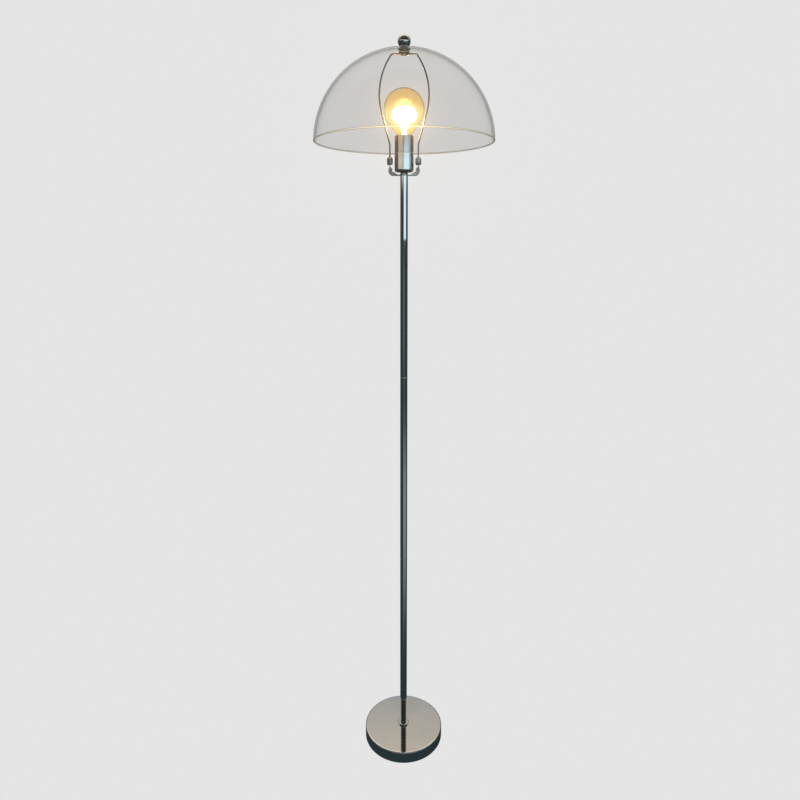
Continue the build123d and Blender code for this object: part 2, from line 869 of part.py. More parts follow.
pieces = {
    "base_pad": make_base_pad(),
    "base_shell": make_base_shell(),
    "base_weight": make_base_weight(),
    "base_collar": make_base_collar(),
    "base_nipple": nipple(base_nipple_bottom, base_nipple_top),
    "base_flat_washer": make_base_flat_washer(),
    "base_lock_washer": make_base_lock_washer(),
    "base_nut": hex_nut(base_nut_flats, base_nut_bottom, base_nut_h),
    "cord_bush": make_cord_bush(),
    "pole_lower": pole_section(pole_bottom),
    "pole_middle": pole_section(joint_low),
    "pole_upper": pole_section(joint_high),
    "pole_inserts": make_pole_inserts(),
    "joint_nipple_lower": joint_nipple(joint_low),
    "joint_nipple_upper": joint_nipple(joint_high),
    "top_nipple": nipple(pole_top - joint_nipple_len / 2, top_nipple_top),
    "inner_lead": make_inner_lead(),
    "lead_cores": make_lead_cores(),
    "saddle": make_saddle(),
    "saddle_nut": hex_nut(saddle_nut_flats, pole_top + saddle_t, saddle_nut_h),
    "socket_cap_bushing": make_cap_bushing(),
    "socket_set_screw": make_cap_set_screw(),
    "socket_cap": make_socket_cap(),
    "socket_shell": make_socket_shell(),
    "socket_liner": make_socket_liner(),
    "socket_body": make_socket_core(),
    "socket_screw_shell": make_socket_screw_shell(),
    "socket_centre_contact": make_socket_centre_contact(),
    "terminal_plates": make_terminal_plates(),
    "terminal_screws": make_terminal_screws(),
    "bulb_globe": make_bulb_globe(),
    "bulb_screw_cap": make_bulb_screw_cap(),
    "bulb_insulator": make_bulb_insulator(),
    "bulb_tip_contact": make_bulb_tip_contact(),
    "bulb_stem": make_bulb_stem(),
    "bulb_filaments": make_bulb_filaments(),
    "filament_supports": make_filament_supports(),
    "harp_wire": make_harp_wire(),
    "harp_stud": make_harp_stud(),
    "shade_seat": make_shade_seat(),
    "ferrule_left": make_ferrule(-1),
    "ferrule_right": make_ferrule(1),
    "shade": make_shade(),
    "shade_washer_low": make_washer_low(),
    "shade_washer_top": make_washer_top(),
    "finial": make_finial(),
}

os.makedirs("parts", exist_ok=True)
for name, piece in pieces.items():
    export_step(piece, f"parts/{name}.step")
    print(f"{name:24s} {len(piece.solids())} solid(s) {piece.volume:12.1f} mm3")
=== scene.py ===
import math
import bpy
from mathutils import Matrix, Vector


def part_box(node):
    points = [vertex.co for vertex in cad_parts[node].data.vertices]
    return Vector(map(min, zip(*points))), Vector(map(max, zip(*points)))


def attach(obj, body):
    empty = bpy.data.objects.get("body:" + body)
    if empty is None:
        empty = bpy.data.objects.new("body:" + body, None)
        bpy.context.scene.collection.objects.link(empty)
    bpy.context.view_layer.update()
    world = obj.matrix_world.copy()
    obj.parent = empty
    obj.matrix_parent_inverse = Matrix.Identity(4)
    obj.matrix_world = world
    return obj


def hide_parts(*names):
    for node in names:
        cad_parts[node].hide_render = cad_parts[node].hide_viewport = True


bl_info = {
    "name": "Mushroom Floor Lamp",
    "version": (1, 0, 0),
    "blender": (4, 5, 0),
    "location": "3D View > Sidebar > Floor Lamp",
    "description": "Finishes the parts of a clear-domed floor lamp and sets its pale studio",
    "category": "Object",
}

import bmesh
import bpy
from bpy.props import FloatProperty, FloatVectorProperty, PointerProperty
from mathutils import Vector

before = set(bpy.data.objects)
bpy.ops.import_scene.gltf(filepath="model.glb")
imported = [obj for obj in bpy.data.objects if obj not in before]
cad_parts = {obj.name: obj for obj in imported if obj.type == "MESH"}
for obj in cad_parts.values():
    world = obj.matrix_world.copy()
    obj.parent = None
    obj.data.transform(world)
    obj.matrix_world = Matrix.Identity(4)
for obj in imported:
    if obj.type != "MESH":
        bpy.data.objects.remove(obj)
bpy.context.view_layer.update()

MM = 0.001

# The socket's pressed screw shell and the bulb's rolled cap. The plain lengths have no thread.
SHELL_WALL = 0.7 * MM
SHELL_RELIEF = 0.35 * SHELL_WALL
SHELL_FLOOR_BORE = 8.0 * MM
SHELL_PLAIN_FOOT = 5.0 * MM
SHELL_PLAIN_TOP = 4.0 * MM
SHELL_STATION = 0.5 * MM
CAP_WALL = 0.5 * MM
CAP_FOOT = 8.5 * MM
CAP_CONE_HEIGHT = 2.8 * MM
CAP_PLAIN_FOOT = 0.5 * MM
CAP_PLAIN_TOP = 6.0 * MM
CAP_STATION = 0.45 * MM
THREAD_STEPS = 96

# The round bead along the dome's rim: corners of its section, and steps round the dome.
EDGE_CORNERS = 16
EDGE_STEPS = 256

# The balls of light in the bulb: offset to the right and radius in mm, and share of its power.
BULB_LIGHTS = ((0, 16, 0.50), (0, 20, 0.30), (-10, 17, 0.10), (10, 17, 0.10))
BULB_LIGHT_RISE = 5.0 * MM
BULB_LIGHT_COLOUR = (1.0, 0.80, 0.50)

WINDOW_COLOUR = (0.60, 0.84, 0.95)
WINDOW_WATTS_PER_AREA = 4.0
SOFTBOX_PLACE = Vector((-0.9, -1.6, 2.6))
SOFTBOX_AIM = Vector((0.0, 0.0, 1.1))
SOFTBOX_WIDTH = 1.6
SOFTBOX_WATTS = 30.0
SENSOR_WIDTH = 36.0
FLOOR_DROP = 0.2 * MM
FLOOR_STEPS = 96

# Patches in the room that the metal mirrors: colour, turn from and to (to the right of the
# camera's side), height from and to, and softness, in degrees.
ROOM_PATCHES = (
    ((0.055, 0.090, 0.087), (-25.0, 30.0), (-36.0, -2.0), 3.0),
    ((0.12, 0.17, 0.17), (-25.0, 12.0), (-11.0, -2.0), 3.0),
    ((0.22, 0.27, 0.30), (-20.0, 85.0), (-31.0, -19.0), 5.0),
    ((0.82, 0.65, 0.50), (-78.0, -14.0), (5.0, 13.0), 1.0),
    ((0.60, 0.58, 0.54), (60.0, 86.0), (5.0, 13.0), 1.0),
)


# ---------------------------------------------------------------- node graphs


class Graph:
    """Adds nodes to one node tree and links them, so that a finish reads as a list of steps."""

    def __init__(self, tree):
        self.tree = tree

    def add(self, kind, inputs=None, **settings):
        """A node with its settings, and each input fed by a value or by another node's socket."""
        node = self.tree.nodes.new(kind)
        for key, value in settings.items():
            setattr(node, key, value)
        for key, value in (inputs or {}).items():
            self.feed(node.inputs[key], value)
        return node

    def feed(self, socket, value):
        if isinstance(value, bpy.types.NodeSocket):
            self.tree.links.new(value, socket)
        elif socket.type == "RGBA" and len(value) == 3:
            socket.default_value = (*value, 1.0)
        else:
            socket.default_value = value

    def maths(self, operation, *values, clamp=False):
        node = self.add("ShaderNodeMath", dict(enumerate(values)), operation=operation)
        node.use_clamp = clamp
        return node.outputs[0]

    def vector_node(self, operation, values):
        return self.add("ShaderNodeVectorMath", dict(enumerate(values)), operation=operation)

    def vectors(self, operation, *values):
        return self.vector_node(operation, values).outputs["Vector"]

    def measure(self, operation, *values):
        """A vector operation that gives a number."""
        return self.vector_node(operation, values).outputs["Value"]

    def complement(self, value):
        """One minus a value."""
        return self.maths("SUBTRACT", 1.0, value)

    def mix(self, share, first, second, blend="MIX"):
        """Two colours mixed by a share."""
        node = self.add("ShaderNodeMix", data_type="RGBA", blend_type=blend)
        for key, value in (("Factor_Float", share), ("A_Color", first), ("B_Color", second)):
            socket = next(s for s in node.inputs if s.identifier == key)
            self.feed(socket, value)
        return next(s for s in node.outputs if s.identifier == "Result_Color")

    def span(self, value, low, high, to_low=0.0, to_high=1.0, smooth=True):
        """A value's place between two ends, spread over two other ends and held there."""
        ends = {"From Min": low, "From Max": high, "To Min": to_low, "To Max": to_high}
        node = self.add("ShaderNodeMapRange", {"Value": value, **ends})
        node.interpolation_type = "SMOOTHSTEP" if smooth else "LINEAR"
        return node.outputs[0]

    def ramp(self, value, *stops):
        """A colour from a list of (place, colour) stops."""
        node = self.add("ShaderNodeValToRGB", {"Fac": value})
        band = node.color_ramp.elements
        while len(band) < len(stops):
            band.new(1.0)
        for point, (place, colour) in zip(band, stops):
            point.position = place
            point.color = (*colour, 1.0)
        return node.outputs["Color"]

    def noise(self, place, scale, detail=2.0, roughness=0.5):
        node = self.add(
            "ShaderNodeTexNoise",
            {"Vector": place, "Scale": scale, "Detail": detail, "Roughness": roughness},
        )
        return node.outputs["Fac"]

    def where(self):
        """A point's place in metres, in the frame that all pieces share at rest."""
        return self.add("ShaderNodeTexCoord").outputs["Object"]

    def place(self, stretch=(1.0, 1.0, 1.0)):
        """A point's place, stretched along the axes."""
        return self.add("ShaderNodeMapping", {"Vector": self.where(), "Scale": stretch}).outputs[0]

    def off_axis(self):
        """The level vector from the lamp's axis to a point."""
        return self.vectors("MULTIPLY", self.where(), (1, 1, 0))

    def split(self, vector):
        return self.add("ShaderNodeSeparateXYZ", {0: vector}).outputs

    def effect(self, group, **values):
        """A shared effect placed in this tree, with its own values."""
        node = self.add("ShaderNodeGroup", node_tree=group)
        for key, value in values.items():
            node.inputs[key.replace("_", " ").title()].default_value = value
        return node.outputs

    def facing(self):
        """0 where a surface faces the viewer and 1 at its outline."""
        return self.add("ShaderNodeLayerWeight", {"Blend": 0.5}).outputs["Facing"]

    def bump(self, height, distance, strength=1.0):
        node = self.add(
            "ShaderNodeBump", {"Height": height, "Distance": distance, "Strength": strength}
        )
        return node.outputs["Normal"]


def shared_effect(name, inputs, outputs, build):
    """A shader node group with named inputs and outputs, made once and used by several finishes."""
    if name in bpy.data.node_groups:
        return bpy.data.node_groups[name]
    tree = bpy.data.node_groups.new(name, "ShaderNodeTree")
    for key, (kind, value) in inputs.items():
        socket = tree.interface.new_socket(name=key, in_out="INPUT", socket_type=kind)
        socket.default_value = value
    for key, kind in outputs.items():
        tree.interface.new_socket(name=key, in_out="OUTPUT", socket_type=kind)
    graph = Graph(tree)
    given = graph.add("NodeGroupInput").outputs
    result = graph.add("NodeGroupOutput").inputs
    for key, value in build(graph, given).items():
        graph.feed(result[key], value)
    return tree


def handling_marks():
    """Wiped smears and fine hairline scratches, as left by hands and cloths on plated metal."""

    def build(graph, given):
        place = graph.place()
        smears = graph.noise(place, given["Smear Scale"], 4.0, 0.6)
        smears = graph.span(smears, 0.42, 0.72)
        warp = graph.vectors("MULTIPLY", place, given["Scratch Stretch"])
        lines = graph.noise(warp, 1.0, 3.0, 0.7)
        hairlines = graph.span(lines, 0.60, 0.66)
        both = graph.maths("MULTIPLY_ADD", hairlines, 0.5, smears, clamp=True)
        return {"Mask": both}

    return shared_effect(
        "Handling Marks",
        {
            "Smear Scale": ("NodeSocketFloat", 18.0),
            "Scratch Stretch": ("NodeSocketVector", (900.0, 900.0, 40.0)),
        },
        {"Mask": "NodeSocketFloat"},
        build,
    )


def settled_dust():
    """A fine speckle of dust that lies on faces turned upward."""

    def build(graph, given):
        up = graph.split(graph.add("ShaderNodeNewGeometry").outputs["Normal"])["Z"]
        level = graph.span(up, 0.35, 0.95)
        specks = graph.noise(graph.place(), given["Speck Scale"], 2.0, 0.6)
        specks = graph.span(specks, 0.62, 0.74)
        return {"Mask": graph.maths("MULTIPLY", level, specks)}

    return shared_effect(
        "Settled Dust",
        {"Speck Scale": ("NodeSocketFloat", 700.0)},
        {"Mask": "NodeSocketFloat"},
        build,
    )


def moulded_grain():
    """The fine irregular skin of moulded, cast and woven-fibre goods."""

    def build(graph, given):
        place = graph.place()
        fine = graph.noise(place, given["Grain Scale"], 3.0, 0.6)
        broad = graph.noise(place, graph.maths("MULTIPLY", given["Grain Scale"], 0.08), 2.0, 0.5)
        height = graph.maths("MULTIPLY_ADD", broad, 0.6, fine)
        return {"Height": height, "Tone": broad}

    return shared_effect(
        "Moulded Grain",
        {"Grain Scale": ("NodeSocketFloat", 1500.0)},
        {"Height": "NodeSocketFloat", "Tone": "NodeSocketFloat"},
        build,
    )


# ---------------------------------------------------------------- finishes


def new_finish(name):
    """A new material, the graph to build it with, its main shader and its output."""
    material = bpy.data.materials.new(name)
    material.use_nodes = True
    tree = material.node_tree
    tree.nodes.clear()
    graph = Graph(tree)
    shader = graph.add("ShaderNodeBsdfPrincipled")
    output = graph.add("ShaderNodeOutputMaterial", {"Surface": shader.outputs[0]})
    return material, graph, shader, output


def plated(name, colour, roughness, scratch=(900.0, 900.0, 40.0), ripple=0.0, dusty=False):
    """Plated or polished metal: a mirror colour, smears, hairlines and, if wanted, slow ripples."""
    material, graph, shader, _ = new_finish(name)
    marks = graph.effect(handling_marks(), scratch_stretch=scratch)["Mask"]
    graph.feed(shader.inputs["Metallic"], 1.0)
    worn = [c * 0.86 for c in colour]
    tone = graph.mix(graph.maths("MULTIPLY", marks, 0.5), colour, worn)
    rough = graph.maths("MULTIPLY_ADD", marks, roughness * 0.9, roughness)
    if dusty:
        dust = graph.effect(settled_dust())["Mask"]
        tone = graph.mix(graph.maths("MULTIPLY", dust, 0.25), tone, (0.62, 0.60, 0.56))
        rough = graph.maths("MULTIPLY_ADD", dust, 0.25, rough)
    graph.feed(shader.inputs["Base Color"], tone)
    graph.feed(shader.inputs["Roughness"], rough)
    if ripple:
        waves = graph.noise(graph.place((90.0, 90.0, 9.0)), 1.0, 2.0, 0.5)
        graph.feed(shader.inputs["Normal"], graph.bump(waves, ripple))
    return material


def moulded(name, colour, roughness, grain=1500.0, depth=0.00006, mottle=0.25, metallic=0.0):
    """Moulded, cast or pressed goods: an even colour, a slight mottle and a fine grain."""
    material, graph, shader, _ = new_finish(name)
    skin = graph.effect(moulded_grain(), grain_scale=grain)
    dark = [c * (1 - mottle) for c in colour]
    rough = graph.span(skin["Tone"], 0.3, 0.7, roughness * 0.9, min(1.0, roughness * 1.1))
    graph.feed(shader.inputs["Metallic"], metallic)
    graph.feed(shader.inputs["Base Color"], graph.mix(skin["Tone"], dark, colour))
    graph.feed(shader.inputs["Roughness"], rough)
    graph.feed(shader.inputs["Normal"], graph.bump(skin["Height"], depth))
    return material


def let_lamps_through(graph, shader, output, tint):
    """Glass that lets light from the lamp pass: a shadow ray meets only its tint."""
    path = graph.add("ShaderNodeLightPath").outputs["Is Shadow Ray"]
    clear = graph.add("ShaderNodeBsdfTransparent", {"Color": tint})
    passing = graph.add("ShaderNodeMixShader", {0: path, 1: shader.outputs[0], 2: clear.outputs[0]})
    graph.feed(output.inputs["Surface"], passing.outputs[0])


def amber_glass(lamp):
    """The bulb's amber glass: a deep glow over its top, a pale one beside the lit sticks and a
    golden one down its neck."""
    material, graph, shader, output = new_finish("amber_glass")
    low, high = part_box("bulb_globe")
    height = graph.split(graph.where())["Z"]
    level = graph.span(height, low.z, high.z, smooth=False)
    mist = graph.noise(graph.place(), 260.0, 3.0, 0.6)
    level = graph.maths("ADD", level, graph.span(mist, 0.2, 0.8, -0.05, 0.05))
    glow = graph.ramp(
        level,
        (0.0, (0.30, 0.18, 0.04)),
        (0.20, (0.60, 0.48, 0.14)),
        (0.36, (0.70, 0.80, 0.45)),
        (0.56, (0.66, 0.84, 0.50)),
        (0.68, (0.42, 0.20, 0.01)),
        (1.0, (0.14, 0.05, 0.00)),
    )
    deep = [c**1.5 for c in lamp.amber]
    pale = [c**0.7 for c in lamp.amber]
    graph.feed(shader.inputs["Base Color"], graph.mix(graph.span(mist, 0.35, 0.65), deep, pale))
    graph.feed(shader.inputs["Roughness"], graph.span(mist, 0.2, 0.8, 0.02, 0.06))
    graph.feed(shader.inputs["IOR"], 1.33)
    graph.feed(shader.inputs["Transmission Weight"], 1.0)
    graph.feed(shader.inputs["Emission Color"], glow)
    graph.feed(shader.inputs["Emission Strength"], lamp.glass_glow)
    waves = graph.noise(graph.place(), 130.0, 2.0, 0.5)
    graph.feed(shader.inputs["Normal"], graph.bump(waves, 0.0006))
    let_lamps_through(graph, shader, output, (1.0, 0.86, 0.62))
    return material


def clear_glass(lamp):
    """The bulb's inner glass mount: flooded with light up its middle, golden on its flare."""
    material, graph, shader, output = new_finish("clear_glass")
    lit = graph.span(graph.measure("LENGTH", graph.off_axis()), 8.0 * MM, 5.5 * MM)
    glow = graph.ramp(lit, (0.0, (0.030, 0.018, 0.004)), (1.0, (1.0, 0.86, 0.55)))
    graph.feed(shader.inputs["Base Color"], (0.97, 0.98, 0.97))
    ripple = graph.noise(graph.place(), 400.0)
    graph.feed(shader.inputs["Roughness"], graph.span(ripple, 0.3, 0.7, 0.03, 0.10))
    graph.feed(shader.inputs["IOR"], 1.5)
    graph.feed(shader.inputs["Transmission Weight"], 1.0)
    graph.feed(shader.inputs["Emission Color"], glow)
    graph.feed(shader.inputs["Emission Strength"], lamp.stem_glow)
    let_lamps_through(graph, shader, output, (1.0, 1.0, 1.0))
    return material


def lit_filament(lamp):
    """The glowing sticks of the bulb, a little dimmer at their ends."""
    material, graph, shader, _ = new_finish("filament")
    low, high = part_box("bulb_filaments")
    height = graph.split(graph.where())["Z"]
    middle = (low.z + high.z) / 2
    off_middle = graph.maths("ABSOLUTE", graph.maths("SUBTRACT", height, middle))
    heat = graph.span(off_middle, (high.z - low.z) * 0.35, (high.z - low.z) / 2)
    graph.feed(shader.inputs["Base Color"], (0.95, 0.72, 0.30))
    graph.feed(shader.inputs["Roughness"], 0.6)
    glow = graph.ramp(heat, (0.0, (1.0, 0.80, 0.48)), (1.0, (1.0, 0.58, 0.22)))
    graph.feed(shader.inputs["Emission Color"], glow)
    graph.feed(shader.inputs["Emission Strength"], lamp.filament_glow)
    return material


def clear_acrylic(lamp):
    """The clear dome: it dims what is behind it once, and mirrors the room towards its outline."""
    material, graph, shader, output = new_finish("clear_acrylic")
    grazing = graph.maths("POWER", graph.facing(), 10.0)
    mirror = graph.maths("MULTIPLY_ADD", grazing, 0.92, 0.012, clamp=True)
    path = graph.add("ShaderNodeLightPath").outputs
    first = graph.maths("SUBTRACT", 1.0, path["Transparent Depth"], clamp=True)
    first = graph.maths("MULTIPLY", first, graph.complement(path["Is Shadow Ray"]))
    haze = graph.span(graph.noise(graph.place(), 30.0, 4.0, 0.6), 0.3, 0.7)
    tint = graph.mix(haze, lamp.dome_tint, [c * 0.985 for c in lamp.dome_tint])
    clear = graph.add("ShaderNodeBsdfTransparent", {"Color": graph.mix(first, (1, 1, 1), tint)})
    wipes = graph.effect(handling_marks(), smear_scale=9.0, scratch_stretch=(60.0, 60.0, 700.0))
    graph.feed(shader.inputs["Base Color"], (0.80, 0.80, 0.79))
    graph.feed(shader.inputs["Metallic"], 1.0)
    rough = graph.maths("MULTIPLY_ADD", wipes["Mask"], 0.05, 0.02)
    graph.feed(shader.inputs["Roughness"], rough)
    wall = graph.add("ShaderNodeMixShader", {0: mirror, 1: clear.outputs[0], 2: shader.outputs[0]})
    graph.feed(output.inputs["Surface"], wall.outputs[0])
    return material


def polished_edge(lamp):
    """The dome's polished edge: half clear, with a painted golden glow where its outer side faces
    the viewer, standing in for the bulb's light let out by the edge."""
    material, graph, shader, output = new_finish("polished_edge")
    ripple = graph.noise(graph.place(), 90.0, 3.0, 0.6)
    # Painted light: the edge's golden colour tints what passes through it like the bulb's light;
    # the clear acrylic itself has no such colour.
    tone = graph.mix(ripple, (0.62, 0.54, 0.36), (0.68, 0.61, 0.46))
    graph.feed(shader.inputs["Base Color"], tone)
    graph.feed(shader.inputs["Roughness"], graph.span(ripple, 0.3, 0.7, 0.52, 0.62))
    graph.feed(shader.inputs["IOR"], 1.5)
    graph.feed(shader.inputs["Transmission Weight"], 1.0)
    # Painted glow: emission on the edge, strongest where its outer side faces the viewer, standing
    # in for bulb light piped through the acrylic.
    surface = graph.add("ShaderNodeNewGeometry").outputs
    outward = graph.vectors("NORMALIZE", graph.off_axis())
    away = graph.measure("DOT_PRODUCT", outward, surface["Normal"])
    share = graph.maths("MULTIPLY", away, graph.complement(graph.facing()), clamp=True)
    share = graph.maths("POWER", share, 2.0)
    share = graph.maths("MULTIPLY", share, graph.complement(surface["Backfacing"]))
    graph.feed(shader.inputs["Emission Color"], graph.mix(share, (0, 0, 0), (1.0, 0.92, 0.64)))
    graph.feed(shader.inputs["Emission Strength"], lamp.painted_edge_glow)
    clear = graph.add("ShaderNodeBsdfTransparent", {"Color": (0.86, 0.85, 0.83)})
    edge = graph.add("ShaderNodeMixShader", {0: 0.5, 1: clear.outputs[0], 2: shader.outputs[0]})
    graph.feed(output.inputs["Surface"], edge.outputs[0])
    return material


def two_core_jackets():
    """The lead's two cores, one brown and one blue."""
    material, graph, shader, _ = new_finish("core_jacket")
    side = graph.split(graph.where())["X"]
    share = graph.maths("GREATER_THAN", side, 0.0)
    skin = graph.effect(moulded_grain())
    brown = graph.mix(skin["Tone"], (0.10, 0.035, 0.012), (0.16, 0.055, 0.02))
    blue = graph.mix(skin["Tone"], (0.02, 0.06, 0.22), (0.03, 0.10, 0.34))
    graph.feed(shader.inputs["Base Color"], graph.mix(share, brown, blue))
    graph.feed(shader.inputs["Roughness"], graph.span(skin["Tone"], 0.3, 0.7, 0.32, 0.45))
    return material


def finish_for(slot):
    """The material of one of the record's slots, made the first time it is asked for."""
    if slot in bpy.data.materials and bpy.data.materials[slot].get("finished"):
        return bpy.data.materials[slot]
    imported = bpy.data.materials.get(slot)
    if imported:
        imported.name = slot + ".plain"
    lamp = bpy.context.scene.floor_lamp
    # Plated: colour, roughness, stretch of the scratches. Moulded: colour, roughness, grain scale,
    # grain depth, mottle, metallic.
    recipes = {
        "chrome_plate": lambda: plated(slot, lamp.chrome, lamp.chrome_roughness),
        "socket_chrome": lambda: plated(slot, (0.71, 0.75, 0.78), 0.09),
        "harp_steel": lambda: plated(slot, (0.52, 0.51, 0.50), 0.28, (300.0, 300.0, 90.0)),
        "zinc_steel": lambda: moulded(slot, (0.55, 0.57, 0.60), 0.34, 900.0, 0.00003, 0.2, 1.0),
        "cast_iron": lambda: moulded(slot, (0.055, 0.055, 0.06), 0.75, 500.0, 0.0004, 0.35),
        "foam_pad": lambda: moulded(slot, (0.018, 0.018, 0.020), 0.92, 1800.0, 0.0003, 0.4),
        "black_nylon": lambda: moulded(slot, (0.014, 0.014, 0.015), 0.42, 2400.0, 0.00004),
        "lead_jacket": lambda: moulded(slot, (0.022, 0.022, 0.024), 0.38, 900.0, 0.00004),
        "core_jacket": two_core_jackets,
        "fibre": lambda: moulded(slot, (0.30, 0.20, 0.11), 0.80, 1200.0, 0.00015, 0.3),
        "phenolic": lambda: moulded(slot, (0.035, 0.022, 0.016), 0.35, 1600.0, 0.00003, 0.4),
        "brass": lambda: plated(slot, (0.78, 0.55, 0.22), 0.20),
        "nickel": lambda: plated(slot, (0.66, 0.62, 0.55), 0.18),
        "black_glass": lambda: moulded(slot, (0.010, 0.010, 0.014), 0.12, 700.0, 0.00005),
        "solder": lambda: moulded(slot, (0.60, 0.60, 0.62), 0.38, 500.0, 0.00025, 0.25, 1.0),
        "clear_glass": lambda: clear_glass(lamp),
        "amber_glass": lambda: amber_glass(lamp),
        "filament": lambda: lit_filament(lamp),
        "support_wire": lambda: plated(slot, (0.60, 0.55, 0.45), 0.25),
        "clear_acrylic": lambda: clear_acrylic(lamp),
        "soft_washer": lambda: moulded(slot, (0.09, 0.09, 0.09), 0.7, 1400.0, 0.00005),
    }
    material = recipes[slot]()
    material.name = slot
    material["finished"] = True
    return material


def slot_of(name):
    """The record's slot that a CAD node's material is named after."""
    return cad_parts[name].material_slots[0].material.name.split(".")[0]


def dress(*names, material=None):
    """Gives CAD nodes the finish of their slot, or one of their own."""
    for name in names:
        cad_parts[name].material_slots[0].material = material or finish_for(slot_of(name))


# ---------------------------------------------------------------- meshes


def new_piece(name, mesh, body, material, replaced=()):
    """Puts a mesh in the scene as a piece that rides on a body."""
    piece = bpy.data.objects.new(name, mesh)
    bpy.context.scene.collection.objects.link(piece)
    mesh.materials.append(material)
    mesh.polygons.foreach_set("use_smooth", [True] * len(mesh.polygons))
    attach(piece, body)
    if replaced:
        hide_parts(*replaced)
    return piece


def turned_mesh(name, outline, steps, radius_at=None):
    """A closed outline of (radius, height) points turned about Z. radius_at may vary the radius
    with the turn."""
    mesh = bmesh.new()
    rings = []
    for step in range(steps):
        turn = 2 * math.pi * step / steps
        ring = []
        for radius, height in outline:
            r = radius_at(radius, height, turn) if radius_at else radius
            ring.append(mesh.verts.new((r * math.cos(turn), r * math.sin(turn), height)))
        rings.append(ring)
    for step in range(steps):
        here, there = rings[step], rings[(step + 1) % steps]
        for i in range(len(outline)):
            j = (i + 1) % len(outline)
            mesh.faces.new((here[i], there[i], there[j], here[j]))
    data = bpy.data.meshes.new(name)
    bmesh.ops.recalc_face_normals(mesh, faces=mesh.faces)
    mesh.to_mesh(data)
    mesh.free()
    return data


def stations(low, high, step):
    """Heights from one end to the other, about a step apart."""
    count = max(2, round((high - low) / step))
    return [low + (high - low) * i / count for i in range(count + 1)]


def thread_wave(height, turn, start, stop, pitch):
    """The depth of a rolled thread at one point, from 0 to 1. It runs out over half a turn at
    either end."""
    if not start < height < stop:
        return 0.0
    ease = min(1.0, (height - start) / (pitch / 2), (stop - height) / (pitch / 2))
    return ease * (0.5 - 0.5 * math.cos(2 * math.pi * (height / pitch) - turn))


def pressed_shell(lamp):
    """The socket's screw shell: a thin cup with an open floor, its thread pressed outward."""
    low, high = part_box("socket_screw_shell")
    wall, floor_bore = SHELL_WALL, SHELL_FLOOR_BORE
    outer = high.x - SHELL_RELIEF
    inner = high.x - wall
    side = stations(low.z + 3 * wall, high.z - wall, SHELL_STATION)
    start, stop = low.z + SHELL_PLAIN_FOOT, high.z - SHELL_PLAIN_TOP
    outline = [(floor_bore, low.z), (outer - wall, low.z)]
    outline += [(outer, z) for z in side] + [(outer, high.z)]
    outline += [(inner, high.z)] + [(inner, z) for z in reversed(side)]
    outline += [(inner - wall, low.z + wall), (floor_bore, low.z + wall)]

    def pressed(radius, height, turn):
        ridge = thread_wave(height, turn, start, stop, lamp.thread_pitch)
        return radius + SHELL_RELIEF * ridge

    return turned_mesh("socket_thread_shell", outline, THREAD_STEPS, pressed)


def rolled_cap(lamp):
    """The bulb's cap: a thin cup on a cone, its thread rolled inward."""
    low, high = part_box("bulb_screw_cap")
    outer, wall, foot = high.x, CAP_WALL, CAP_FOOT
    cone = low.z + CAP_CONE_HEIGHT
    side = stations(cone, high.z, CAP_STATION)
    start, stop = cone + CAP_PLAIN_FOOT, high.z - CAP_PLAIN_TOP
    outline = [(foot - wall, low.z), (foot, low.z)] + [(outer, z) for z in side]
    outline += [(outer - wall, z) for z in reversed(side)] + [(foot - wall, low.z + wall)]

    def rolled(radius, height, turn):
        groove = thread_wave(height, turn, start, stop, lamp.thread_pitch)
        return radius - lamp.thread_depth * groove

    return turned_mesh("bulb_thread_cap", outline, THREAD_STEPS, rolled)


def rim_bead(lamp):
    """The dome's polished edge: a round bead along its rim, no wider than the dome's box."""
    low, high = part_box("shade")
    half = lamp.edge_width / 2
    middle = min(high.x, -low.x) - half
    outline = []
    for step in range(EDGE_CORNERS):
        turn = 2 * math.pi * step / EDGE_CORNERS
        outline.append((middle + half * math.cos(turn), low.z + half + half * math.sin(turn)))
    return turned_mesh("shade_edge", outline, EDGE_STEPS)


# ---------------------------------------------------------------- settings


class LampSettings(bpy.types.PropertyGroup):
    """The sizes, colours and strengths of the lamp's looks."""

    chrome: FloatVectorProperty(
        name="Chrome",
        description="Mirror colour of the plated base, pole and ball",
        subtype="COLOR",
        size=3,
        min=0.0,
        max=1.0,
        default=(0.74, 0.75, 0.75),
    )
    chrome_roughness: FloatProperty(
        name="Chrome Roughness",
        description="Roughness of clean chrome",
        subtype="FACTOR",
        min=0.0,
        max=1.0,
        default=0.035,
    )
    amber: FloatVectorProperty(
        name="Amber Glass",
        description="Colour of the bulb's glass",
        subtype="COLOR",
        size=3,
        min=0.0,
        max=1.0,
        default=(0.95, 0.84, 0.60),
    )
    dome_tint: FloatVectorProperty(
        name="Dome Tint",
        description="Share of the light behind the dome that comes through it",
        subtype="COLOR",
        size=3,
        min=0.0,
        max=1.0,
        default=(0.785, 0.780, 0.772),
    )
    filament_glow: FloatProperty(
        name="Filament Glow", description="Strength of the lit sticks", min=0.0, default=14.0
    )
    stem_glow: FloatProperty(
        name="Stem Glow", description="Light caught by the bulb's inner glass", min=0.0, default=5.0
    )
    glass_glow: FloatProperty(
        name="Glass Glow", description="Light caught by the amber glass", min=0.0, default=0.12
    )
    # Strength of the painted golden glow on the dome's edge, emission standing in for the bulb's
    # light.
    painted_edge_glow: FloatProperty(
        name="Edge Glow", description="Bulb light let out by the dome's edge", min=0.0, default=1.5
    )
    bulb_power: FloatProperty(
        name="Bulb Power", description="Light that the bulb gives, in watts", min=0.0, default=0.6
    )
    edge_width: FloatProperty(
        name="Edge Width",
        description="Thickness of the dome's polished edge",
        subtype="DISTANCE",
        unit="LENGTH",
        default=3.2 * MM,
    )
    thread_pitch: FloatProperty(
        name="Cap Thread Pitch",
        description="Rise of the bulb cap's rolled thread in one turn",
        subtype="DISTANCE",
        unit="LENGTH",
        default=3.63 * MM,
    )
    thread_depth: FloatProperty(
        name="Cap Thread Depth",
        description="How deep the rolled thread is pressed",
        subtype="DISTANCE",
        unit="LENGTH",
        default=0.6 * MM,
    )


